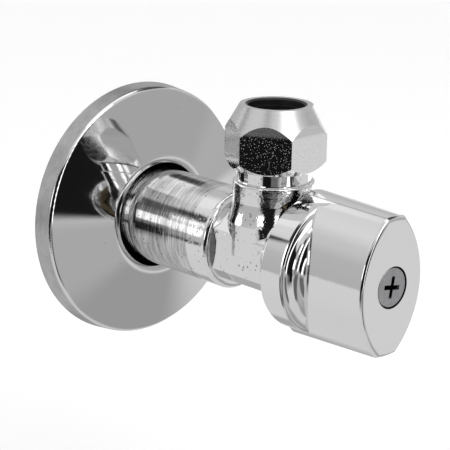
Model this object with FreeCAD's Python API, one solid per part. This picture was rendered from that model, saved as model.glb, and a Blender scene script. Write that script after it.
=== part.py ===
"""Angle stop valve, chrome-plated brass, with a wall flange and a compression outlet.

Frame: millimetres, +Z up along the outlet. The inlet axis is the Y axis, the wall is the
plane y = 0 and the handle points along -Y. "Reach" below is the distance out of the wall,
so a point at reach a lies at y = -a. X = 0 is the plane of symmetry of the body.
"""
import FreeCAD, Part
import math
import os

Vec = FreeCAD.Vector
OUTWARD = Vec(0, -1, 0)
UP = Vec(0, 0, 1)
ORIGIN = Vec(0, 0, 0)

# ---- clearances -------------------------------------------------------------------------
thread_gap = 0.07          # radial, between a male and a female thread
sliding_gap = 0.06         # radial, between a stem or plunger and its guide
ring_gap = 0.015           # radial, between an O-ring and the bore that it seals
face_gap = 0.05            # between faces that close on each other
loose_gap = 1.2            # radial, between the wall flange and the inlet barrel

# ---- inlet barrel and its wall thread (G 1/2) -------------------------------------------
barrel_radius = 11.0
barrel_front = 35.4
barrel_edge_round = 1.3
inlet_thread_radius = 10.478
inlet_thread_pitch = 1.814
inlet_thread_turns = 6
inlet_thread_depth = 0.75
inlet_lead_in = 1.2
inlet_last_crest = 0.3
inlet_bore_radius = 6.5
inlet_bore_front = barrel_front - 3.4

# ---- valve seat and chamber -------------------------------------------------------------
seat_bore_radius = 3.6
seat_lip_radius = 4.7
seat_reach = barrel_front + 2.6
seat_lip_height = 1.2
chamber_radius = 6.6
bonnet_thread_radius = chamber_radius + 1.4

# ---- neck between the barrel and the handle ---------------------------------------------
neck_half_width = chamber_radius + 2.3
neck_half_height = chamber_radius + 1.4
neck_flat_half = 4.5
neck_top_half = 4.4
neck_front = barrel_front + 15.8
panel_rise = 0.35
panel_start = barrel_front + 2.8
panel_half_height = 3.9
panel_corner = 1.2
collar_radius = bonnet_thread_radius + 2.2
collar_front = neck_front + 5.8

# ---- outlet branch and its thread (G 3/8) -----------------------------------------------
tube_radius = 5.0
tube_gap = 0.08
outlet_reach = barrel_front + 9.3
outlet_thread_radius = tube_radius + 3.331
branch_radius = outlet_thread_radius + 0.42
branch_foot_radius = branch_radius + 0.95
branch_foot_height = 7.0
branch_blend_height = 11.5
branch_top = 15.7
branch_edge_round = 0.6
relief_radius = outlet_thread_radius - 0.48
relief_top = 18.9
outlet_thread_pitch = 1.337
outlet_thread_turns = 4
outlet_thread_depth = 0.6
outlet_way_radius = tube_radius - 0.8
tube_stop = 12.0

# ---- olive and compression nut ----------------------------------------------------------
olive_radius = tube_radius + 1.9
olive_length = 6.2
olive_taper = 2.2
olive_edge = 0.35
olive_seat_gap = 0.1
nut_across_flats = 2 * outlet_thread_radius + 2.338
nut_bottom = 18.4
nut_top = 31.8
nut_flat_top = 26.1
nut_flat_bottom = 20.3
nut_top_radius = tube_radius + 2.72
nut_mouth_radius = tube_radius + 1.0
nut_mouth_depth = 1.5
nut_mouth_chamfer = 0.35
nut_turn_at_rest = 2.5

# ---- bonnet (headwork) ------------------------------------------------------------------
bonnet_nose = neck_front - 0.6
bonnet_nose_length = 1.2
gasket_thickness = 0.8
gasket_width = 1.6
bonnet_hex_across = 2 * bonnet_thread_radius + 1.0
bonnet_hex_height = 3.5
bonnet_top = collar_front + 9.5
guide_radius = chamber_radius - 0.8
guide_flat = guide_radius - 0.8
guide_front = collar_front + 2.4
bonnet_barrel_radius = guide_radius + 0.6

# ---- spindle ----------------------------------------------------------------------------
stem_radius = 3.5
thrust_collar_radius = guide_radius - 0.4
thrust_collar_height = 1.4
thrust_washer_height = 0.6
drive_thread_radius = 3.0
drive_thread_pitch = 1.5
drive_thread_depth = 0.45
drive_thread_turns = 5
o_ring_section = 1.1
o_ring_groove_width = 1.4
o_ring_reaches = {"lower": guide_front + 2.0, "upper": guide_front + 4.9}
clip_reach = bonnet_top + 0.25
clip_thickness = 0.7
clip_groove_depth = 0.5
clip_radius = 4.9
clip_opening = 2.4
spline_start = clip_reach + 1.25
spline_teeth = 18
spline_depth = 0.3
spline_gap = 0.05

# ---- plunger and seat washer ------------------------------------------------------------
washer_radius = guide_radius - 0.2
washer_height = 2.6
plunger_length = 11.2
plunger_head_height = 3.0
plunger_bore_floor = 0.9
washer_screw_radius = 1.5
washer_screw_head_radius = 2.6
washer_screw_head_height = 1.1
washer_screw_length = 4.4

# ---- handle -----------------------------------------------------------------------------
skirt_radius = collar_radius + 4.06
skirt_rear = collar_front - 1.8
skirt_front = skirt_rear + 5.8
skirt_edge_round = 0.35
ridge_radius = skirt_radius - 2.36
ridge_reach = skirt_front + 1.5
shoulder_radius = skirt_radius - 5.66
shoulder_reach = skirt_front + 3.7
cove_depth = 0.42
grip_half_width = skirt_radius - 5.06
grip_arc_radius = skirt_radius + 5.04
grip_crown_height = skirt_radius + 0.14
grip_draft = 0.026
grip_front = skirt_rear + 23.2
grip_edge_round = 0.9
handle_wall = 1.7
handle_front_wall = 3.8
hub_radius = 6.0
hub_rear = spline_start + 0.3
handle_turn_at_rest = -2.5

# ---- handle screw (M4, countersunk, cross recess) ---------------------------------------
screw_radius = 2.0
screw_head_radius = 4.15
screw_head_sink = 0.15
screw_head_land = 0.3
screw_length = 12.0
screw_hole_gap = 0.15
screw_pocket_gap = 0.2
recess_width = 0.95
recess_length = 4.6
recess_depth = 1.9
screw_turn_at_rest = -10.5

# ---- wall flange ------------------------------------------------------------------------
flange_radius = 29.4
flange_corner_radius = flange_radius - 0.5
flange_corner_reach = 4.5
flange_corner_round = 1.1
flange_cone_angle = 17.0
flange_hole_radius = barrel_radius + loose_gap
flange_crest_radius = flange_hole_radius + 1.3
flange_crest_round = 2.2
flange_sheet = 0.8


# ---- building blocks --------------------------------------------------------------------
def at(radius, reach):
    """A point of a profile that is turned about the inlet axis."""
    return Vec(radius, -reach, 0)


def up_at(radius, height):
    """A point of a profile that is turned about the outlet axis."""
    return Vec(radius, -outlet_reach, height)


def outline(points):
    """A closed face. A point is a vector, or a pair: the middle and the end of an arc."""
    edges = []
    here = points[0]
    for step in points[1:] + [points[0]]:
        if isinstance(step, tuple):
            edges.append(Part.Arc(here, step[0], step[1]).toShape())
            here = step[1]
        elif (step - here).Length > 1e-7:
            edges.append(Part.LineSegment(here, step).toShape())
            here = step
    return Part.Face(Part.Wire(edges))


def turned(points):
    """A solid of revolution about the inlet axis."""
    return outline(points).revolve(ORIGIN, OUTWARD, 360)


def turned_up(points):
    """A solid of revolution about the outlet axis."""
    return outline(points).revolve(Vec(0, -outlet_reach, 0), UP, 360)


def rod(radius, start, end):
    """A cylinder on the inlet axis between two reaches."""
    return Part.makeCylinder(radius, end - start, Vec(0, -start, 0), OUTWARD)


def section_solid(corners, start, end):
    """A prism whose section lies across the inlet axis, given as x and z pairs."""
    points = [Vec(x, -start, z) for x, z in corners]
    return outline(points).extrude(OUTWARD * (end - start))


def hexagon(across_flats):
    """The x and z pairs of a hexagon with a flat at the top."""
    corner = across_flats / math.sqrt(3)
    return [(corner * math.cos(math.radians(60 * k)), corner * math.sin(math.radians(60 * k)))
            for k in range(6)]


def thread_profile(place, radius, depth, pitch, turns, start):
    """The stepped edge of a thread cut as rings: crests and roots along the axis."""
    points = []
    for k in range(turns):
        base = start + k * pitch
        points.append(place(radius, base))
        points.append(place(radius, base + 0.25 * pitch))
        points.append(place(radius - depth, base + 0.55 * pitch))
        points.append(place(radius - depth, base + 0.7 * pitch))
    points.append(place(radius, start + turns * pitch))
    return points


def ring(major, section, reach):
    """An O-ring about the inlet axis."""
    return Part.makeTorus(major, section / 2, Vec(0, -reach, 0), OUTWARD)


def edges_where(shape, test):
    """The edges of a shape whose bounding box passes a test."""
    return [edge for edge in shape.Edges if test(edge.BoundBox)]


def save(node, shape):
    """Write one named piece."""
    solid = shape.removeSplitter()
    solid.exportStep("parts/" + node + ".step")


# ---- valve body -------------------------------------------------------------------------
def neck_section(grow=0.0):
    """The forged neck: flat sides and a flat top and bottom, with broad chamfers between."""
    wide = neck_half_width + grow
    tall = neck_half_height + grow
    quarter = [(wide, neck_flat_half), (neck_top_half, tall)]
    right = [(wide, -neck_flat_half)] + quarter
    left = [(-neck_top_half, tall), (-wide, neck_flat_half), (-wide, -neck_flat_half)]
    return right + left + [(-neck_top_half, -tall), (neck_top_half, -tall)]


def inlet_thread_length():
    """From the barrel's shoulder at the wall to the thread's free end."""
    return inlet_thread_turns * inlet_thread_pitch + inlet_lead_in


def inlet_barrel():
    """The turned barrel, with the wall thread behind it."""
    end = inlet_thread_length()
    root = inlet_thread_radius - inlet_thread_depth
    thread = thread_profile(at, inlet_thread_radius, inlet_thread_depth, inlet_thread_pitch,
                            inlet_thread_turns, inlet_lead_in - end)
    points = [at(0, -end), at(root, -end)] + thread
    relief = inlet_last_crest + inlet_thread_depth
    points += [at(inlet_thread_radius, inlet_last_crest), at(root, relief)]
    points += [at(root, relief + 0.6), at(barrel_radius, relief + 0.6 + barrel_radius - root)]
    points += [at(barrel_radius, barrel_front), at(0, barrel_front)]
    barrel = turned(points)
    rim = edges_where(barrel, lambda box: abs(box.YMin + barrel_front) < 0.01
                      and box.XMax > barrel_radius - 0.01)
    return barrel.makeFillet(barrel_edge_round, rim)


def side_panel(side):
    """The raised plain panel on one side of the neck, with rounded rear corners."""
    start = panel_start
    end = neck_front
    low, high = -panel_half_height, panel_half_height
    inner = side * (neck_half_width - 1.0)
    bend = panel_corner * (1 - math.sqrt(0.5))
    points = [
        Vec(inner, -end, low), Vec(inner, -start - panel_corner, low),
        (Vec(inner, -start - bend, low + bend), Vec(inner, -start, low + panel_corner)),
        Vec(inner, -start, high - panel_corner),
        (Vec(inner, -start - bend, high - bend), Vec(inner, -start - panel_corner, high)),
        Vec(inner, -end, high),
    ]
    return outline(points).extrude(Vec(side * (1.0 + panel_rise), 0, 0))


def outlet_branch():
    """The forged branch with its foot, the thread relief and the outlet thread."""
    lip = branch_top - branch_edge_round
    bend = branch_edge_round * (1 - math.sqrt(0.5))
    mid_height = (branch_foot_height + branch_blend_height) / 2
    mid_radius = branch_radius + 0.3 * (branch_foot_radius - branch_radius)
    points = [
        up_at(0, 0), up_at(branch_foot_radius, 0), up_at(branch_foot_radius, branch_foot_height),
        (up_at(mid_radius, mid_height), up_at(branch_radius, branch_blend_height)),
        up_at(branch_radius, lip),
        (up_at(branch_radius - bend, branch_top - bend),
         up_at(branch_radius - branch_edge_round, branch_top)),
        up_at(relief_radius, branch_top), up_at(relief_radius, relief_top),
    ]
    points += thread_profile(up_at, outlet_thread_radius, outlet_thread_depth,
                             outlet_thread_pitch, outlet_thread_turns, relief_top)
    top = relief_top + outlet_thread_turns * outlet_thread_pitch
    points += [up_at(olive_radius, top + 0.5), up_at(0, top + 0.5)]
    return turned_up(points)


def outlet_end():
    """The height of the outlet's open end, where the olive sits."""
    return relief_top + outlet_thread_turns * outlet_thread_pitch + 0.5


def valve_body():
    """Barrel, neck, branch and collar in one piece, with its waterways cut."""
    neck = section_solid(neck_section(), barrel_front - 2.0, neck_front)
    body = inlet_barrel().fuse([
        neck, side_panel(-1), side_panel(1), outlet_branch(),
        rod(collar_radius, neck_front, collar_front),
    ])
    lip_rear = seat_reach - seat_lip_height
    waterway = turned([
        at(0, -inlet_thread_length() - 1), at(inlet_bore_radius, -inlet_thread_length() - 1),
        at(inlet_bore_radius, inlet_bore_front),
        at(seat_bore_radius, inlet_bore_front + inlet_bore_radius - seat_bore_radius),
        at(seat_bore_radius, seat_reach + 1), at(0, seat_reach + 1),
    ])
    chamber_front = bonnet_nose + bonnet_nose_length
    chamber = rod(chamber_radius, lip_rear, chamber_front).cut(
        rod(seat_lip_radius, lip_rear, seat_reach))
    thread_bore = rod(bonnet_thread_radius, chamber_front - 0.1, collar_front + 1)
    tube_bore_radius = tube_radius + tube_gap
    mouth = outlet_end()
    way_up = turned_up([
        up_at(0, 0), up_at(outlet_way_radius, 0), up_at(outlet_way_radius, tube_stop),
        up_at(tube_bore_radius, tube_stop), up_at(tube_bore_radius, mouth - olive_taper),
        up_at(tube_bore_radius + olive_edge, mouth - olive_taper),
        up_at(olive_radius, mouth), up_at(0, mouth),
    ])
    return body.cut([waterway, chamber, thread_bore, way_up])


def olive_bottom():
    """The height of the olive's lower end, just clear of the outlet's conical mouth."""
    return outlet_end() - olive_taper + olive_seat_gap


# ---- wall flange ------------------------------------------------------------------------
def flange_cone_reach(radius):
    """The reach of the flange's outer cone, carried to any radius."""
    slope = math.tan(math.radians(flange_cone_angle))
    return flange_corner_reach + slope * (flange_corner_radius - radius)


def flange_curve(inset):
    """The flange's edge from the wall to its hole: wall, cone and crest, drawn in by an inset."""
    cone = math.radians(flange_cone_angle)
    bend = flange_crest_round - inset
    crest_start = flange_crest_radius + flange_crest_round * math.sin(cone)
    centre = flange_cone_reach(crest_start) - flange_crest_round * math.cos(cone)
    lean = math.asin((flange_crest_radius - flange_hole_radius) / flange_crest_round)

    def on_crest(angle):
        return at(flange_crest_radius + bend * math.sin(angle), centre + bend * math.cos(angle))

    corner = at(flange_corner_radius - inset, flange_corner_reach - inset * 0.75)
    wall = at(flange_radius - inset, 0)
    return [wall, corner, on_crest(cone), (on_crest((cone - lean) / 2), on_crest(-lean))]


def escutcheon():
    """The wall flange: a spun sheet with a short wall, a shallow cone and a rolled hole edge."""
    outside = flange_curve(0)
    inside = flange_curve(flange_sheet)
    crest_end = outside[-1][1]
    back = [inside[-1][1], (inside[-1][0], inside[2]), inside[1], inside[0]]
    sheet = turned(outside + back)
    corner = edges_where(sheet, lambda box: abs(box.XMax - flange_corner_radius) < 0.01
                         and abs(box.YMax + flange_corner_reach) < 0.01)
    sheet = sheet.makeFillet(flange_corner_round, corner)
    bore = rod(flange_hole_radius, -1, -crest_end.y + 1)
    return sheet.cut(bore)


# ---- compression outlet -----------------------------------------------------------------
def olive():
    """The brass compression ring, with a cone at each end."""
    bore = tube_radius + tube_gap
    bottom = olive_bottom()
    top = bottom + olive_length
    edge = bore + olive_edge
    return turned_up([
        up_at(bore, bottom), up_at(edge, bottom), up_at(olive_radius, bottom + olive_taper),
        up_at(olive_radius, top - olive_taper), up_at(edge, top), up_at(bore, top),
    ])


def compression_nut():
    """A hexagon nut with a long turned cone, a chamfered underside and a tube bore."""
    corner = nut_across_flats / math.sqrt(3)
    bore = tube_radius + tube_gap
    olive_top = olive_bottom() + olive_length
    inside = outlet_thread_radius + thread_gap
    blank = turned_up([
        up_at(0, nut_bottom), up_at(nut_across_flats / 2 - 0.2, nut_bottom),
        up_at(corner, nut_flat_bottom), up_at(corner, nut_flat_top),
        up_at(nut_top_radius, nut_top), up_at(0, nut_top),
    ])
    hexagonal = outline([Vec(x, -outlet_reach + y, nut_bottom) for x, y in
                         hexagon(nut_across_flats)]).extrude(UP * (nut_top - nut_bottom))
    hexagonal.rotate(Vec(0, -outlet_reach, 0), UP, nut_turn_at_rest)
    widest = olive_radius + olive_seat_gap
    cone_start = olive_top - olive_taper
    hollow = turned_up([
        up_at(0, nut_bottom - 1), up_at(inside + 0.4, nut_bottom - 1),
        up_at(inside + 0.4, nut_bottom + 0.4), up_at(inside, nut_bottom + 0.8),
        up_at(inside, outlet_end() + face_gap), up_at(widest, outlet_end() + face_gap),
        up_at(widest, cone_start), up_at(bore + olive_edge + olive_seat_gap, olive_top + face_gap),
        up_at(bore, olive_top + face_gap),
        up_at(bore, nut_top - nut_mouth_depth), up_at(nut_mouth_radius, nut_top - nut_mouth_depth),
        up_at(nut_mouth_radius, nut_top - nut_mouth_chamfer),
        up_at(nut_mouth_radius + nut_mouth_chamfer, nut_top),
        up_at(nut_mouth_radius + nut_mouth_chamfer, nut_top + 1), up_at(0, nut_top + 1),
    ])
    return blank.common(hexagonal).cut(hollow)


# ---- headwork ---------------------------------------------------------------------------
def guide_hole(radius, flat, start, end):
    """A round hole with two flats, which keeps the plunger from turning."""
    box = Part.makeBox(2 * flat, end - start, 2 * radius + 2, Vec(-flat, -end, -radius - 1))
    return rod(radius, start, end).common(box)


def bonnet():
    """The headwork body: a guided nose, a thread, a hexagon and a barrel for the stem."""
    flange_rear = collar_front + gasket_thickness
    flange_front = flange_rear + bonnet_hex_height
    thread_start = bonnet_nose + bonnet_nose_length
    turns = 4
    pitch = (collar_front - 0.6 - thread_start) / turns
    male = bonnet_thread_radius - thread_gap
    nose = chamber_radius - sliding_gap
    points = [at(0, bonnet_nose), at(nose, bonnet_nose), at(nose, thread_start)]
    points += thread_profile(at, male, 0.5, pitch, turns, thread_start)
    points += [at(male - 0.5, collar_front - 0.4), at(male - 0.5, flange_rear)]
    points += [at(bonnet_barrel_radius, flange_rear), at(bonnet_barrel_radius, bonnet_top - 0.5),
               at(bonnet_barrel_radius - 0.5, bonnet_top), at(0, bonnet_top)]
    corner = bonnet_hex_across / math.sqrt(3)
    hexagonal = section_solid(hexagon(bonnet_hex_across), flange_rear, flange_front)
    hexagonal = hexagonal.common(turned([
        at(0, flange_rear), at(corner, flange_rear), at(corner, flange_front - 0.7),
        at(corner - 1.2, flange_front), at(0, flange_front),
    ]))
    solid = turned(points).fuse(hexagonal)
    holes = [
        guide_hole(guide_radius, guide_flat, bonnet_nose - 1, spindle_collar_reach() - 0.2),
        rod(guide_radius, spindle_collar_reach() - 0.2, guide_front),
        rod(stem_radius + sliding_gap, guide_front - 1, bonnet_top + 1),
    ]
    return solid.cut(holes)


def bonnet_gasket():
    """The flat sealing ring between the collar's face and the bonnet's hexagon."""
    inner = bonnet_thread_radius + sliding_gap
    outer = rod(inner + gasket_width, collar_front, collar_front + gasket_thickness)
    return outer.cut(rod(inner, collar_front - 1, collar_front + gasket_thickness + 1))


def spindle_collar_reach():
    """Where the spindle's thrust collar starts."""
    return guide_front - thrust_washer_height - thrust_collar_height - 2 * face_gap


def spline_end():
    """The reach of the spindle's free end, inside the handle's hub."""
    return grip_front - 4.0


def spline_section(grow=0.0):
    """The toothed section of the spindle's end, as x and z pairs."""
    points = []
    for k in range(spline_teeth * 4):
        quarter = k % 4
        radius = stem_radius + grow - (spline_depth if quarter in (2, 3) else 0)
        angle = 2 * math.pi * (k + (0.0, 0.3, 0.0, 0.3)[quarter]) / (spline_teeth * 4)
        points.append((radius * math.cos(angle), radius * math.sin(angle)))
    return points


def spindle():
    """The turning spindle: drive thread, thrust collar, sealed stem and splined end."""
    collar_rear = spindle_collar_reach()
    collar_end = collar_rear + thrust_collar_height
    thread_start = collar_rear - 0.8 - drive_thread_turns * drive_thread_pitch
    root = drive_thread_radius - drive_thread_depth
    points = [at(0, thread_start - 0.6), at(root, thread_start - 0.6)]
    points += thread_profile(at, drive_thread_radius, drive_thread_depth, drive_thread_pitch,
                             drive_thread_turns, thread_start)
    points += [at(root, collar_rear - 0.6), at(root, collar_rear)]
    points += [at(thrust_collar_radius, collar_rear), at(thrust_collar_radius, collar_end)]
    points += [at(stem_radius, collar_end)]
    groove_root = stem_radius + sliding_gap - ring_gap - o_ring_section
    for reach in o_ring_reaches.values():
        low = reach - o_ring_groove_width / 2
        high = reach + o_ring_groove_width / 2
        points += [at(stem_radius, low), at(groove_root, low)]
        points += [at(groove_root, high), at(stem_radius, high)]
    clip_root = stem_radius - clip_groove_depth
    clip_end = clip_reach + clip_thickness + face_gap
    points += [at(stem_radius, clip_reach - face_gap), at(clip_root, clip_reach - face_gap)]
    points += [at(clip_root, clip_end), at(stem_radius, clip_end)]
    points += [at(stem_radius, spline_start), at(0, spline_start)]
    splines = section_solid(spline_section(), spline_start, spline_end())
    tapped = rod(screw_radius, screw_tip() - 0.6, spline_end() + 1)
    return turned(points).fuse(splines).cut(tapped)


def stem_o_ring(reach):
    """One O-ring on the stem."""
    outer = stem_radius + sliding_gap - ring_gap
    return ring(outer - o_ring_section / 2, o_ring_section, reach)


def thrust_washer():
    """The low-friction washer that the spindle's collar turns against."""
    start = guide_front - thrust_washer_height - face_gap
    outer = rod(guide_radius - 0.2, start, start + thrust_washer_height)
    return outer.cut(rod(stem_radius + sliding_gap, start - 1, guide_front + 1))


def retaining_clip():
    """The open spring clip that holds the spindle in the bonnet."""
    end = clip_reach + clip_thickness
    disc = rod(clip_radius, clip_reach, end)
    hole = rod(stem_radius - clip_groove_depth + sliding_gap, clip_reach - 1, end + 1)
    slot = Part.makeBox(clip_opening, clip_thickness + 2, clip_radius + 1,
                        Vec(-clip_opening / 2, -end - 1, -clip_radius - 1))
    return disc.cut([hole, slot])


def plunger():
    """The washer carrier: it slides on two flats and is driven by the spindle's thread."""
    rear = seat_reach + face_gap + washer_height
    front = rear + plunger_length
    guided = guide_hole(guide_radius - sliding_gap, guide_flat - sliding_gap, rear, front)
    head = rod(washer_radius, rear, rear + plunger_head_height)
    drive_bore = rod(drive_thread_radius + thread_gap, rear + plunger_bore_floor + screw_depth(),
                     front + 1)
    screw_hole = rod(washer_screw_radius, rear - 1, rear + screw_depth())
    return guided.fuse(head).cut([drive_bore, screw_hole])


def screw_depth():
    """How far the washer screw enters the plunger."""
    return washer_screw_length - washer_height


def seat_washer():
    """The rubber disc that closes on the seat."""
    rear = seat_reach + face_gap
    disc = rod(washer_radius, rear, rear + washer_height)
    hole = rod(washer_screw_radius + sliding_gap, rear - 1, rear + washer_height + 1)
    return disc.cut(hole)


def washer_screw():
    """The small screw that holds the rubber disc, with a slotted head inside the seat bore."""
    rear = seat_reach + face_gap
    head_rear = rear - washer_screw_head_height
    shank_end = rear + washer_height + screw_depth() - face_gap
    shape = rod(washer_screw_head_radius, head_rear, rear).fuse(
        rod(washer_screw_radius - sliding_gap, rear, shank_end))
    slot = Part.makeBox(2 * washer_screw_head_radius + 1, 0.5, 0.6,
                        Vec(-washer_screw_head_radius - 0.5, -head_rear - 0.5, -0.3))
    return shape.cut(slot)


# ---- handle -----------------------------------------------------------------------------
def grip_outline(inset, reach):
    """The grip's section at one reach: long convex sides between a short crown at each end."""
    grow = grip_draft * (grip_front - reach) - inset
    arc = grip_arc_radius + grow
    crown = grip_crown_height + grow
    mid = grip_half_width + grow
    side = math.sqrt(arc * arc - crown * crown) - (arc - mid)
    top = crown + side * side / (2 * crown)
    return outline([
        Vec(side, -reach, -crown), (Vec(mid, -reach, 0), Vec(side, -reach, crown)),
        (Vec(0, -reach, top), Vec(-side, -reach, crown)),
        (Vec(-mid, -reach, 0), Vec(-side, -reach, -crown)),
        (Vec(0, -reach, -top), Vec(side, -reach, -crown)),
    ]).OuterWire


def grip_bar(inset, start, end):
    """The grip's drafted bar between two reaches, drawn in by an inset."""
    return Part.makeLoft([grip_outline(inset, start), grip_outline(inset, end)], True, True)


def grip():
    """The grip as a solid bar, with softened crown edges and a rounded front."""
    bar = grip_bar(0, skirt_rear, grip_front)
    soft = edges_where(bar, lambda box: box.YLength > 5 or abs(box.YMax + grip_front) < 0.01)
    return bar.makeFillet(grip_edge_round, soft)


def cove(start, end):
    """The middle point of a hollow arc between two profile points."""
    along = end - start
    across = Vec(-along.y, along.x, 0).normalize()
    sideways = across if across.y > 0 else across * -1
    return (start + end) * 0.5 + sideways * cove_depth


def skirt():
    """The round skirt with its two hollow steps down to the grip."""
    edge = at(skirt_radius - 0.25, skirt_front)
    ridge = at(ridge_radius, ridge_reach)
    ridge_front = at(ridge_radius - 0.18, ridge_reach + 0.12)
    foot = at(shoulder_radius, shoulder_reach)
    rear_bend = skirt_edge_round * (1 - math.sqrt(0.5))
    return turned([
        at(0, skirt_rear), at(skirt_radius - skirt_edge_round, skirt_rear),
        (at(skirt_radius - rear_bend, skirt_rear + rear_bend),
         at(skirt_radius, skirt_rear + skirt_edge_round)),
        at(skirt_radius, skirt_front - 0.15), edge,
        (cove(edge, ridge), ridge), ridge_front,
        (cove(ridge_front, foot), foot), at(0, shoulder_reach),
    ])


def handle():
    """The cast handle: skirt and grip cored from behind, with a splined hub."""
    inside = skirt_radius - handle_wall
    floor = grip_front - handle_front_wall
    core = turned([
        at(0, skirt_rear - 1), at(inside, skirt_rear - 1), at(inside, skirt_front - 1.0),
        at(shoulder_radius - handle_wall, shoulder_reach - 1.6), at(0, shoulder_reach - 1.6),
    ])
    grip_core = grip_bar(handle_wall, shoulder_reach - 3, floor).common(
        rod(inside, skirt_rear, grip_front))
    hub = rod(hub_radius, hub_rear, floor)
    hollow = core.fuse(grip_core).cut(hub)
    socket = section_solid(spline_section(spline_gap), hub_rear - 1, spline_end() + face_gap)
    top = screw_head_top()
    cone_depth = screw_head_radius - screw_radius
    pocket_radius = screw_head_radius + screw_pocket_gap
    pocket = turned([
        at(0, spline_end() - 1), at(screw_radius + screw_hole_gap, spline_end() - 1),
        at(screw_radius + screw_hole_gap, top - screw_head_land - cone_depth - 0.1),
        at(pocket_radius, top - screw_head_land), at(pocket_radius, grip_front + 1),
        at(0, grip_front + 1),
    ])
    shape = grip().fuse(skirt()).cut(hollow)
    shape.rotate(ORIGIN, OUTWARD, handle_turn_at_rest)
    return shape.cut([socket, pocket])


def screw_head_top():
    """The reach of the screw head's face, a little under the handle's front."""
    return grip_front - screw_head_sink


def screw_tip():
    """The reach of the handle screw's tip."""
    return screw_head_top() - screw_length


def handle_screw():
    """The countersunk screw with a cross recess."""
    top = screw_head_top()
    cone_end = top - screw_head_land - (screw_head_radius - screw_radius)
    shank = screw_radius - sliding_gap
    solid = turned([
        at(0, screw_tip()), at(shank - 0.5, screw_tip()), at(shank, screw_tip() + 0.5),
        at(shank, cone_end - 0.05), at(screw_head_radius, top - screw_head_land),
        at(screw_head_radius, top - 0.12), at(screw_head_radius - 0.15, top), at(0, top),
    ])
    arms = []
    for quarter in range(2):
        half = recess_length / 2
        arm = outline([
            Vec(-half, -top, 0), Vec(half, -top, 0),
            Vec(half * 0.35, -top + recess_depth, 0), Vec(-half * 0.35, -top + recess_depth, 0),
        ]).extrude(UP * recess_width)
        arm.translate(UP * (-recess_width / 2))
        arm.rotate(ORIGIN, OUTWARD, 90 * quarter)
        arms.append(arm)
    shape = solid.cut(arms)
    shape.rotate(ORIGIN, OUTWARD, screw_turn_at_rest)
    return shape


# ---- the pieces -------------------------------------------------------------------------
os.makedirs("parts", exist_ok=True)
save("valve_body", valve_body())
save("escutcheon", escutcheon())
save("olive", olive())
save("compression_nut", compression_nut())
save("bonnet", bonnet())
save("bonnet_gasket", bonnet_gasket())
save("spindle", spindle())
for name, reach in o_ring_reaches.items():
    save("spindle_o_ring_" + name, stem_o_ring(reach))
save("thrust_washer", thrust_washer())
save("retaining_clip", retaining_clip())
save("plunger", plunger())
save("seat_washer", seat_washer())
save("washer_screw", washer_screw())
save("handle", handle())
save("handle_screw", handle_screw())
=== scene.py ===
"""Finishes, studio and camera for a chrome angle stop valve.

Everything is in metres in the part's own frame: +Z up along the outlet, the wall at y = 0 and
the handle towards -Y. Shader maths works in millimetres, so that the sizes below read as the
sizes of real tool marks.
"""
import math

import bpy
from mathutils import Matrix, Vector


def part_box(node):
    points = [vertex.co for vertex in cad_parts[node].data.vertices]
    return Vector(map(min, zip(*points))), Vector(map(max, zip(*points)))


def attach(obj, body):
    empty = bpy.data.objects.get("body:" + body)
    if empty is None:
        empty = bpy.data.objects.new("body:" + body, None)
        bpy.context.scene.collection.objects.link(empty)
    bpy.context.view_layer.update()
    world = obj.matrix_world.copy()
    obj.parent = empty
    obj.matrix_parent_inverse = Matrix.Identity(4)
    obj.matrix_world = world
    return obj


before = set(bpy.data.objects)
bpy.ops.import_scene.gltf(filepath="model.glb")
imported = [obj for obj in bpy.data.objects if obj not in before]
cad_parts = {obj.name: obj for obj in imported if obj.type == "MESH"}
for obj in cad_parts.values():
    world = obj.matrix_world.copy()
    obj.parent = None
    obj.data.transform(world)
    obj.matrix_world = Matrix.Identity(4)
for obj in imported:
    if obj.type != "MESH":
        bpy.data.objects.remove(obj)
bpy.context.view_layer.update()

bl_info = {
    "name": "Angle Stop Valve",
    "version": (1, 0, 0),
    "blender": (4, 5, 0),
    "location": "View3D > Sidebar > Valve",
    "description": "Finishes, studio and camera for a chrome angle stop valve",
    "category": "Object",
}


def axis_of(node):
    """The middle of a node's box in x and y, in millimetres: its upright axis."""
    low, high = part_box(node)
    return (low.x + high.x) * 500, (low.y + high.y) * 500


# ---- where one finish gives way to the next, over the span given, in millimetres ----------
FLANGE_SATIN_RADIUS = (28.75, 28.95)   # the satin rim starts here
BARREL_END_REACH = (29.2, 29.7)        # the barrel's turning marks end here
BRANCH_LIP_HEIGHT = (15.5, 15.7)       # the forged branch ends, the turned neck starts
UNDER_LIP_HEIGHT = (11.5, 13.5)        # the forging is roughest from here to the lip
NUT_CONE_HEIGHT = (26.0, 27.0)         # the flats end, the turned cone starts
NUT_BORE_RADIUS = (6.4, 6.6)           # inside this is the nut's bore
SCREW_POCKET_RADIUS = (4.38, 4.42)     # inside this is the pocket of the handle's screw
SCREW_RECESS_DEPTH = (0.5, 0.2)        # from the front: darker from here inwards

NUT_X, NUT_Y = axis_of("compression_nut")

# ---- brightness of the darker places, as a share of the piece's own colour: dust, stains and marks, and painted shade on the flange's back, in the nut's bore and in the screw's pocket ---
FLANGE_DUST_TONE = 0.35
FLANGE_STAIN_TONE = 0.25
FLANGE_INSIDE_SHADE_TONE = 0.22
MARK_TONE = 0.25
NUT_BORE_SHADE_TONE = 0.08
SCREW_POCKET_SHADE_TONE = 0.06

# ---- plain colours ------------------------------------------------------------------------
SCREW_RECESS_SHADE_COLOUR = (0.04, 0.04, 0.04, 1.0)
SHADE_COLOUR = (0.01, 0.01, 0.01, 1.0)
WHITE = (1, 1, 1, 1)

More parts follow.
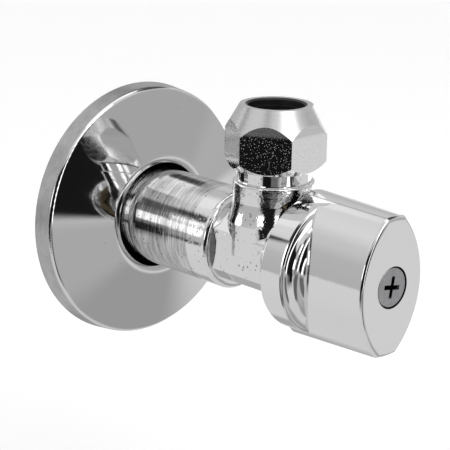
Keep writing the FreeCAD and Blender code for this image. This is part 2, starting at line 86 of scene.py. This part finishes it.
# ---- the studio, in metres and watts ------------------------------------------------------
FLOOR_HALF_WIDTH = 1.5
FLOOR_GLOW = 0.35
SHADE_RADII = (0.0106, 0.019)          # the dark ring behind the flange's hole
SHADE_BEHIND_WALL = 0.0001
SHADE_STEPS = 96
LAMP_WIDTH = 0.5
LAMP_DEPTH = 0.35
LAMP_POWER = 0.4
LAMP_PLACE = (0.05, -0.05, 0.55)
SENSOR_WIDTH_MM = 36.0
NEAREST_SEEN = 0.01
BACKDROP = 1.05                        # brightness of the world as the camera sees it


# ---- shader maths -----------------------------------------------------------------------
class Wire:
    """One socket of a node tree, so that shader maths reads as plain expressions."""

    def __init__(self, tree, socket=None):
        self.tree = tree
        self.socket = socket

    def node(self, kind, settings=None, inputs=None, output=0):
        """Any node: its settings first, then the values or links of its sockets."""
        made = self.tree.nodes.new(kind)
        for name, value in (settings or {}).items():
            setattr(made, name, value)
        for name, value in (inputs or {}).items():
            if isinstance(value, Wire):
                self.tree.links.new(value.socket, made.inputs[name])
            else:
                made.inputs[name].default_value = value
        return Wire(self.tree, made.outputs[output])

    def also(self, output):
        """Another output of the node that this one comes from."""
        return Wire(self.tree, self.socket.node.outputs[output])

    def maths(self, operation, *values):
        """A Math node."""
        return self.node("ShaderNodeMath", {"operation": operation}, dict(enumerate(values)))

    def __add__(self, other):
        return self.maths("ADD", self, other)

    __radd__ = __add__

    def __sub__(self, other):
        return self.maths("SUBTRACT", self, other)

    def __rsub__(self, other):
        return self.maths("SUBTRACT", other, self)

    def __mul__(self, other):
        return self.maths("MULTIPLY", self, other)

    __rmul__ = __mul__

    def __truediv__(self, other):
        return self.maths("DIVIDE", self, other)

    def length_with(self, other):
        """The length of the pair of two values."""
        return self.maths("SQRT", self * self + other * other)

    def rise(self, low, high):
        """0 below low, 1 above high, smooth between."""
        return self.node(
            "ShaderNodeMapRange",
            {"interpolation_type": "SMOOTHSTEP"},
            {"Value": self, "From Min": low, "From Max": high},
        )

    def fall(self, low, high):
        """1 below low, 0 above high, smooth between."""
        return 1 - self.rise(low, high)

    def stretched(self, x, y, z):
        """A vector scaled on each axis."""
        return self.node(
            "ShaderNodeVectorMath", {"operation": "MULTIPLY"}, {0: self, 1: (x, y, z)}
        )

    def noise(self, scale, detail=2.0, roughness=0.5):
        """Fractal noise of a position, about 0 to 1."""
        return self.node(
            "ShaderNodeTexNoise",
            inputs={
                "Vector": self,
                "Scale": scale,
                "Detail": detail,
                "Roughness": roughness,
            },
        )

    def cells(self, scale):
        """Distance to the nearest of scattered points."""
        return self.node("ShaderNodeTexVoronoi", inputs={"Vector": self, "Scale": scale})

    def blend(self, first, second):
        """A colour between two colours, by this value."""
        return self.node(
            "ShaderNodeMix", {"data_type": "RGBA"}, {0: self, 6: first, 7: second}, 2
        )


def new_finish(name):
    """An empty material, and the surface position in millimetres."""
    material = bpy.data.materials.new(name)
    material.use_nodes = True
    material.node_tree.nodes.clear()
    start = Wire(material.node_tree)
    place = start.node("ShaderNodeTexCoord", output="Object")
    return material, place.stretched(1000, 1000, 1000)


def parts_of(place):
    """The x, y and z of a position."""
    x = place.node("ShaderNodeSeparateXYZ", inputs={0: place})
    return x, x.also("Y"), x.also("Z")


def facing(place, axis):
    """How far the surface faces along one axis, from -1 to 1."""
    normal = place.node("ShaderNodeNewGeometry", output="Normal")
    return normal.node("ShaderNodeSeparateXYZ", inputs={0: normal}, output=axis)


def close(shader, kind):
    """Join a shader to the tree's output node."""
    out = shader.tree.nodes.new(kind)
    shader.tree.links.new(shader.socket, out.inputs["Surface"])


def coat(place, colour, metallic, roughness, height=None, depth=0.0, **more):
    """Close a material with its shader. Height is a bump field, depth its size in metres."""
    inputs = {"Base Color": colour, "Metallic": metallic, "Roughness": roughness}
    inputs.update(more)
    if height is not None:
        inputs["Normal"] = place.node(
            "ShaderNodeBump", inputs={"Height": height, "Distance": depth, "Strength": 1.0}
        )
    shader = place.node("ShaderNodeBsdfPrincipled", inputs=inputs)
    close(shader, "ShaderNodeOutputMaterial")


def dress(node, material):
    """Give a CAD node a finish."""
    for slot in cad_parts[node].material_slots:
        slot.material = material


def rgb(colour, gain=1.0):
    """A property's colour as a shader colour, made lighter or darker."""
    return (colour[0] * gain, colour[1] * gain, colour[2] * gain, 1.0)


# ---- what a user may change -------------------------------------------------------------
def swatch(label, use, colour):
    """A colour setting."""
    return bpy.props.FloatVectorProperty(
        name=label, description=use, subtype="COLOR", size=3, min=0, max=1, default=colour
    )


class ChromeSettings(bpy.types.PropertyGroup):
    """The plated finishes."""

    colour: swatch("Chrome", "Colour of the polished plating", (0.80, 0.80, 0.80))
    flange_colour: swatch("Flange", "Colour of the plated wall flange", (0.76, 0.76, 0.765))
    roughness: bpy.props.FloatProperty(
        name="Polish roughness",
        description="Roughness of the best polished faces",
        subtype="FACTOR",
        min=0.0,
        max=1.0,
        default=0.03,
    )


class MetalSettings(bpy.types.PropertyGroup):
    """The bare metals and the seals: a dark and a light tone of each."""

    steel_dark: swatch("Steel, dark", "Darker tone of screws and clip", (0.24, 0.24, 0.25))
    steel_light: swatch("Steel, light", "Lighter tone of screws and clip", (0.50, 0.50, 0.51))
    brass_dark: swatch("Brass, dark", "Tarnished tone of the brass", (0.24, 0.19, 0.12))
    brass_light: swatch("Brass, light", "Clean tone of the brass", (0.42, 0.34, 0.21))
    rubber_dark: swatch("Rubber, dark", "Clean tone of the rubber", (0.012, 0.012, 0.013))
    rubber_light: swatch("Rubber, light", "Bloomed tone of the rubber", (0.035, 0.035, 0.036))
    fibre_dark: swatch("Fibre, dark", "Darker tone of the fibre", (0.30, 0.10, 0.05))
    fibre_light: swatch("Fibre, light", "Lighter tone of the fibre", (0.46, 0.20, 0.11))


class StudioSettings(bpy.types.PropertyGroup):
    """The camera, the floor and the light."""

    turn: bpy.props.FloatProperty(
        name="View turn",
        description="Angle of the camera about the upright axis, from the handle's side",
        subtype="ANGLE",
        unit="ROTATION",
        default=math.radians(-43.82),
    )
    rise: bpy.props.FloatProperty(
        name="View rise",
        description="Angle of the camera above the horizon",
        subtype="ANGLE",
        unit="ROTATION",
        default=math.radians(16.13),
    )
    roll: bpy.props.FloatProperty(
        name="View roll",
        description="Turn of the camera about its own line of sight",
        subtype="ANGLE",
        unit="ROTATION",
        default=math.radians(1.16),
    )
    distance: bpy.props.FloatProperty(
        name="View distance",
        description="From the camera to the point that it looks at",
        subtype="DISTANCE",
        unit="LENGTH",
        default=0.3455,
    )
    aim: bpy.props.FloatVectorProperty(
        name="Aim",
        description="The point that the camera looks at",
        subtype="TRANSLATION",
        unit="LENGTH",
        size=3,
        default=(-0.00003, -0.030, 0.00221),
    )
    lens: bpy.props.FloatProperty(
        name="Lens",
        description="Focal length on a 36 mm sensor, in millimetres",
        unit="CAMERA",
        default=125.74,
    )
    floor_drop: bpy.props.FloatProperty(
        name="Floor drop",
        description="From the inlet's axis down to the floor",
        subtype="DISTANCE",
        unit="LENGTH",
        default=0.085,
    )
    floor_colour: swatch("Floor", "Colour of the floor", (0.9, 0.9, 0.9))


# ---- chrome -----------------------------------------------------------------------------
class VALVE_OT_flange(bpy.types.Operator):
    """Finish the pressed wall flange: polished face, satin rim, a little dust, painted shade
    on its back
    """

    bl_idname = "valve.flange"
    bl_label = "Wall flange"

    def execute(self, context):
        chrome = context.scene.valve_chrome
        material, place = new_finish("flange_chrome")
        x, _, z = parts_of(place)
        satin = x.length_with(z).rise(*FLANGE_SATIN_RADIUS)
        smudge = place.noise(scale=0.09, detail=3.0)
        grain = place.noise(scale=1.1, detail=3.0)
        stain = satin * place.noise(scale=0.35, detail=4.0, roughness=0.6)
        dust = place.cells(scale=0.2).fall(0.02, 0.045)
        # painted shade: faces turned to the wall are darkened in colour as if in shade, and
        # are also rougher as an unpolished back
        rough_shaded_back = facing(place, "Y").rise(0.02, 0.1)
        plate = chrome.flange_colour
        stained = 0.25 * satin + 0.5 * stain
        colour = dust.blend(rgb(plate), rgb(plate, FLANGE_DUST_TONE))
        colour = stained.blend(colour, rgb(plate, FLANGE_STAIN_TONE))
        colour = rough_shaded_back.blend(colour, rgb(plate, FLANGE_INSIDE_SHADE_TONE))
        rough = chrome.roughness + 0.03 * smudge + 0.22 * satin + 0.3 * dust + 0.4 * rough_shaded_back
        height = 0.15 * grain + satin * place.noise(scale=1.6, detail=2.0) + 0.8 * dust
        coat(place, colour, metallic=1.0, roughness=rough, height=height, depth=8e-6)
        dress("escutcheon", material)
        return {"FINISHED"}


class VALVE_OT_body(bpy.types.Operator):
    """Finish the valve body: turned barrel and collar, forged neck and branch"""

    bl_idname = "valve.body"
    bl_label = "Valve body"

    def execute(self, context):
        chrome = context.scene.valve_chrome
        material, place = new_finish("body_chrome")
        _, y, z = parts_of(place)
        reach = -1 * y
        turned_barrel = reach.fall(*BARREL_END_REACH)
        turned_neck = z.rise(*BRANCH_LIP_HEIGHT)
        forged = (1 - turned_barrel) * (1 - turned_neck)
        barrel_marks = place.stretched(0.10, 1.0, 0.10).noise(
            scale=1.5, detail=3.0, roughness=0.7
        )
        branch_marks = place.stretched(0.02, 0.02, 1.0).noise(
            scale=1.6, detail=3.0, roughness=0.6
        )
        pitted = place.noise(scale=0.3, detail=2.0).rise(0.45, 0.6)
        pits = place.cells(scale=0.9).fall(0.1, 0.3) * pitted
        skin = place.noise(scale=0.55, detail=3.0, roughness=0.6)
        under_lip = z.rise(*UNDER_LIP_HEIGHT) * forged
        height = (
            turned_barrel * barrel_marks
            + turned_neck * branch_marks * 0.3
            + forged * (skin * 1.3 - pits * 0.5)
            + under_lip * place.noise(scale=1.0, detail=3.0, roughness=0.6) * 2.5
        )
        rough = chrome.roughness + 0.02 + 0.05 * forged + 0.10 * turned_barrel * barrel_marks
        dull = turned_barrel * (1.1 - barrel_marks.rise(0.3, 0.7)) * 0.6 + pits * 0.7
        colour = dull.blend(rgb(chrome.colour), rgb(chrome.colour, MARK_TONE))
        coat(place, colour, metallic=1.0, roughness=rough, height=height, depth=30e-6)
        dress("valve_body", material)
        return {"FINISHED"}


class VALVE_OT_nut(bpy.types.Operator):
    """Finish the compression nut: flats with an open grain, a turned cone, painted shade in
    the bore
    """

    bl_idname = "valve.nut"
    bl_label = "Compression nut"

    def execute(self, context):
        chrome = context.scene.valve_chrome
        material, place = new_finish("nut_chrome")
        x, y, z = parts_of(place)
        radius = (x - NUT_X).length_with(y - NUT_Y)
        cone = z.rise(*NUT_CONE_HEIGHT)
        marks = place.stretched(0.05, 0.05, 1.0).noise(scale=1.8, detail=3.0, roughness=0.6)
        grain = place.noise(scale=1.9, detail=2.0, roughness=0.7)
        # painted shade: the bore is darkened in colour where shade falls down the hole, and
        # is also rougher
        shaded_bore = radius.fall(*NUT_BORE_RADIUS)
        height = cone * marks + (1 - cone) * grain * 1.2
        specks = place.cells(scale=2.8).fall(0.12, 0.3) * (1 - cone)
        rough = chrome.roughness + 0.04 * grain + 0.22 * cone + 0.2 * shaded_bore + 0.6 * specks
        dull = cone * 0.3 * marks
        colour = dull.blend(rgb(chrome.colour), rgb(chrome.colour, MARK_TONE))
        colour = shaded_bore.blend(colour, rgb(chrome.colour, NUT_BORE_SHADE_TONE))
        coat(place, colour, metallic=1.0, roughness=rough, height=height, depth=12e-6)
        dress("compression_nut", material)
        return {"FINISHED"}


class VALVE_OT_handle(bpy.types.Operator):
    """Finish the cast handle: fine brush lines along the grip, painted shade in the screw's
    pocket
    """

    bl_idname = "valve.handle"
    bl_label = "Handle"

    def execute(self, context):
        chrome = context.scene.valve_chrome
        material, place = new_finish("handle_chrome")
        brush = place.stretched(1.0, 0.05, 1.0).noise(scale=1.5, detail=3.0, roughness=0.6)
        skin = place.noise(scale=0.12, detail=2.0)
        rough = chrome.roughness + 0.03 * brush + 0.02 * skin
        x, _, z = parts_of(place)
        # painted shade: the pocket round the handle's screw is darkened in colour
        pocket_shade = x.length_with(z).fall(*SCREW_POCKET_RADIUS)
        colour = pocket_shade.blend(rgb(chrome.colour), rgb(chrome.colour, SCREW_POCKET_SHADE_TONE))
        height = brush + 2.0 * skin
        coat(place, colour, metallic=1.0, roughness=rough, height=height, depth=4e-6)
        dress("handle", material)
        return {"FINISHED"}


class VALVE_OT_steel(bpy.types.Operator):
    """Finish the steel pieces: handle screw, washer screw and spring clip, with painted shade
    behind their fronts
    """

    bl_idname = "valve.steel"
    bl_label = "Steel pieces"

    def execute(self, context):
        metal = context.scene.valve_metal
        deep, shallow = SCREW_RECESS_DEPTH
        for node in ("handle_screw", "washer_screw", "retaining_clip"):
            front = -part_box(node)[0].y * 1000
            material, place = new_finish(node + "_steel")
            grain = place.noise(scale=1.4, detail=3.0, roughness=0.6)
            reach = -1 * parts_of(place)[1]
            # painted shade: all of each piece more than half a millimetre behind its front is
            # darkened to near black, as shade in the screw's recess
            recess_shade = reach.fall(front - deep, front - shallow)
            colour = grain.blend(rgb(metal.steel_dark), rgb(metal.steel_light))
            colour = recess_shade.blend(colour, SCREW_RECESS_SHADE_COLOUR)
            rough = 0.2 + 0.15 * grain
            coat(place, colour, metallic=1.0, roughness=rough, height=grain, depth=12e-6)
            dress(node, material)
        return {"FINISHED"}


class VALVE_OT_brass(bpy.types.Operator):
    """Finish the raw brass pieces: turned and a little dulled"""

    bl_idname = "valve.brass"
    bl_label = "Brass pieces"

    def execute(self, context):
        metal = context.scene.valve_metal
        material, place = new_finish("raw_brass")
        tarnish = place.noise(scale=0.35, detail=4.0, roughness=0.6)
        marks = place.stretched(0.05, 1.0, 0.05).noise(scale=3.0, detail=4.0, roughness=0.6)
        colour = tarnish.blend(rgb(metal.brass_light), rgb(metal.brass_dark))
        rough = 0.22 + 0.25 * tarnish
        coat(place, colour, metallic=1.0, roughness=rough, height=marks, depth=8e-6)
        for node in ("olive", "bonnet", "spindle", "plunger"):
            dress(node, material)
        return {"FINISHED"}


class VALVE_OT_seals(bpy.types.Operator):
    """Finish the rubber and fibre seals"""

    bl_idname = "valve.seals"
    bl_label = "Seals"

    def execute(self, context):
        metal = context.scene.valve_metal
        material, place = new_finish("seal_rubber")
        bloom = place.noise(scale=1.2, detail=4.0, roughness=0.6)
        colour = bloom.blend(rgb(metal.rubber_dark), rgb(metal.rubber_light))
        rough = 0.5 + 0.25 * bloom
        coat(place, colour, metallic=0.0, roughness=rough, height=bloom, depth=15e-6)
        for node in ("spindle_o_ring_lower", "spindle_o_ring_upper", "seat_washer"):
            dress(node, material)
        fibre, place = new_finish("seal_fibre")
        threads = place.stretched(1.0, 0.25, 1.0).noise(scale=4.0, detail=5.0, roughness=0.7)
        colour = threads.blend(rgb(metal.fibre_dark), rgb(metal.fibre_light))
        rough = 0.75 + 0.15 * threads
        coat(place, colour, metallic=0.0, roughness=rough, height=threads, depth=30e-6)
        for node in ("bonnet_gasket", "thrust_washer"):
            dress(node, fibre)
        return {"FINISHED"}


# ---- studio -----------------------------------------------------------------------------
# brightness of the room by elevation in degrees, smooth between the rows
ROOM = (
    (-90, 0.70), (-50, 0.72), (-20, 0.76), (-12, 0.76), (-9, 0.52), (10, 0.54),
    (25, 0.66), (40, 0.82), (60, 0.74), (80, 0.50),
)
# the cards around the valve, each over the ones before it: azimuth and elevation of the
# middle, half width and half height, soft edge (all in degrees), and brightness.
# Azimuth 0 is +X, 90 is the wall and 270 the handle's side.
CARDS = (
    (306, -44, 34, 14, 10, 0.40),
    (276, -24, 16, 12, 6, 0.50),
    (312, 14, 24, 13, 4, 0.47),
    (214, -16, 26, 11, 9, 0.16),
    (257, -28, 11, 14, 3, 0.16),
    (222, 8, 28, 20, 3, 0.010),
    (202, -13, 13, 8, 1.5, 0.008),
    (275, 0, 13, 12, 1.5, 0.010),
    (271, 18, 9, 8, 1.5, 0.06),
    (198, 37, 9, 9, 3, 0.15),
    (190, 10, 8, 8, 1, 2.0),
    (258, 18, 3, 30, 1, 2.4),
    (266, 48, 24, 15, 2, 2.0),
    (16, -20, 22, 26, 3, 1.4),
    (60, -40, 14, 10, 6, 0.42),
    (62, 38, 14, 9, 5, 0.58),
    (8, 47, 48, 11, 5, 0.10),
    (66, 62, 20, 6, 4, 0.10),
    (108, 55, 11, 2.5, 1.5, 0.10),
    (80, -14, 14, 8, 3, 0.10),
    (123, 28, 7.5, 4.5, 1.5, 0.04),
    (123.5, 5.5, 12, 6, 0.8, 2.0),
    (122, 15, 10, 5, 0.8, 2.0),
    (123, -12, 12, 2.5, 1, 0.010),
    (98, 46, 14, 6, 3, 0.95),
)


class VALVE_OT_studio(bpy.types.Operator):
    """Set up the camera, the floor and the studio light"""

    bl_idname = "valve.studio"
    bl_label = "Studio"

    def execute(self, context):
        studio = context.scene.valve_studio
        self.camera(context, studio)
        self.floor(context, studio)
        self.flange_shade(context)
        self.world(context)
        self.lamp(context)
        return {"FINISHED"}

    def camera(self, context, studio):
        """The camera on its line of sight, rolled about it."""
        turn, rise, roll = studio.turn, studio.rise, studio.roll
        flat = math.cos(rise)
        back = Vector((math.sin(turn) * flat, -math.cos(turn) * flat, math.sin(rise)))
        level = Vector((math.cos(turn), math.sin(turn), 0.0))
        upward = back.cross(level)
        right = level * math.cos(roll) + upward * math.sin(roll)
        up = upward * math.cos(roll) - level * math.sin(roll)
        camera = bpy.data.cameras.new("camera")
        camera.lens = studio.lens
        camera.sensor_width = SENSOR_WIDTH_MM
        camera.clip_start = NEAREST_SEEN
        seat = bpy.data.objects.new("camera", camera)
        context.scene.collection.objects.link(seat)
        place = Matrix.Translation(Vector(studio.aim) + back * studio.distance)
        seat.matrix_world = place @ Matrix((right, up, back)).transposed().to_4x4()
        context.scene.camera = seat
        context.scene.view_settings.view_transform = "Standard"

    def floor(self, context, studio):
        """A pale floor that glows a little and is not mirrored in the chrome."""
        half = FLOOR_HALF_WIDTH
        mesh = bpy.data.meshes.new("floor")
        corners = [(-half, -half, 0), (half, -half, 0), (half, half, 0), (-half, half, 0)]
        mesh.from_pydata(corners, [], [(0, 1, 2, 3)])
        floor = bpy.data.objects.new("floor", mesh)
        context.scene.collection.objects.link(floor)
        floor.location.z = -studio.floor_drop
        material, place = new_finish("floor")
        weave = place.noise(scale=0.02, detail=3.0)
        coat(
            place, rgb(studio.floor_colour), metallic=0.0, roughness=0.8 + 0.1 * weave,
            **{"Emission Color": WHITE, "Emission Strength": FLOOR_GLOW},
        )
        mesh.materials.append(material)
        floor.visible_glossy = False

    def flange_shade(self, context):
        """A dark card in the flange's open back, seen only from the front, past its hole."""
        mesh = bpy.data.meshes.new("flange_shade")
        rings = []
        for radius in SHADE_RADII:
            for k in range(SHADE_STEPS):
                turn = 2 * math.pi * k / SHADE_STEPS
                rings.append(
                    (radius * math.cos(turn), SHADE_BEHIND_WALL, radius * math.sin(turn))
                )
        faces = []
        for k in range(SHADE_STEPS):
            after = (k + 1) % SHADE_STEPS
            faces.append((k, after, SHADE_STEPS + after, SHADE_STEPS + k))
        mesh.from_pydata(rings, [], faces)
        shade = bpy.data.objects.new("flange_shade", mesh)
        context.scene.collection.objects.link(shade)
        material, place = new_finish("flange_shade")
        grit = place.noise(scale=1.5, detail=4.0, roughness=0.6)
        back = place.node("ShaderNodeNewGeometry", output="Backfacing")
        coat(
            place, SHADE_COLOUR, metallic=0.0, roughness=0.9, height=grit, depth=1e-4,
            **{"Alpha": back, "Specular IOR Level": 0.0},
        )
        mesh.materials.append(material)
        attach(shade, "wall_flange")

    def world(self, context):
        """The room and its cards, which the chrome mirrors. The camera sees plain white."""
        world = bpy.data.worlds.new("studio")
        world.use_nodes = True
        tree = world.node_tree
        tree.nodes.clear()
        way = Wire(tree).node("ShaderNodeTexCoord", output="Generated")
        x, y, z = parts_of(way)
        elevation = way.maths("ARCSINE", z) * math.degrees(1)
        azimuth = way.maths("ARCTAN2", y, x) * math.degrees(1)
        glow = ROOM[0][1]
        for (low, dim), (high, bright) in zip(ROOM, ROOM[1:]):
            glow = glow + (bright - dim) * elevation.rise(low, high)
        for middle, height, wide, tall, edge, level in CARDS:
            aside = way.maths("ABSOLUTE", way.maths("WRAP", azimuth - middle, 180, -180))
            above = way.maths("ABSOLUTE", elevation - height)
            across = aside.fall(wide - edge, wide + edge)
            card = across * above.fall(tall - edge, tall + edge)
            glow = glow + card * (level - glow)
        seen = way.node("ShaderNodeLightPath", output="Is Camera Ray")
        glow = glow + seen * (BACKDROP - glow)
        shade = glow.node("ShaderNodeBackground", inputs={"Color": WHITE, "Strength": glow})
        close(shade, "ShaderNodeOutputWorld")
        context.scene.world = world

    def lamp(self, context):
        """A weak soft lamp overhead."""
        lamp = bpy.data.lights.new("overhead", "AREA")
        lamp.shape = "RECTANGLE"
        lamp.size = LAMP_WIDTH
        lamp.size_y = LAMP_DEPTH
        lamp.energy = LAMP_POWER
        hung = bpy.data.objects.new("overhead", lamp)
        hung.location = LAMP_PLACE
        context.scene.collection.objects.link(hung)


class VALVE_PT_finishes(bpy.types.Panel):
    """Sizes, colours and steps of the valve's look"""

    bl_idname = "VALVE_PT_finishes"
    bl_label = "Angle stop valve"
    bl_space_type = "VIEW_3D"
    bl_region_type = "UI"
    bl_category = "Valve"

    def draw(self, context):
        for owner, group in GROUPS.items():
            box = self.layout.box()
            for name in group.__annotations__:
                box.prop(getattr(context.scene, owner), name)
        for step in STEPS:
            self.layout.operator(step.bl_idname)


GROUPS = {
    "valve_chrome": ChromeSettings,
    "valve_metal": MetalSettings,
    "valve_studio": StudioSettings,
}
STEPS = (
    VALVE_OT_flange,
    VALVE_OT_body,
    VALVE_OT_nut,
    VALVE_OT_handle,
    VALVE_OT_steel,
    VALVE_OT_brass,
    VALVE_OT_seals,
    VALVE_OT_studio,
)


def register():
    """Add the settings, the steps and the panel."""
    for group in GROUPS.values():
        bpy.utils.register_class(group)
    for name, group in GROUPS.items():
        setattr(bpy.types.Scene, name, bpy.props.PointerProperty(type=group))
    for step in STEPS:
        bpy.utils.register_class(step)
    bpy.utils.register_class(VALVE_PT_finishes)


def unregister():
    """Take them away again."""
    bpy.utils.unregister_class(VALVE_PT_finishes)
    for step in reversed(STEPS):
        bpy.utils.unregister_class(step)
    for name, group in GROUPS.items():
        delattr(bpy.types.Scene, name)
        bpy.utils.unregister_class(group)


def main():
    """Build every look in order."""
    register()
    for step in STEPS:
        family, name = step.bl_idname.split(".")
        getattr(getattr(bpy.ops, family), name)()


if __name__ == "__main__":
    main()
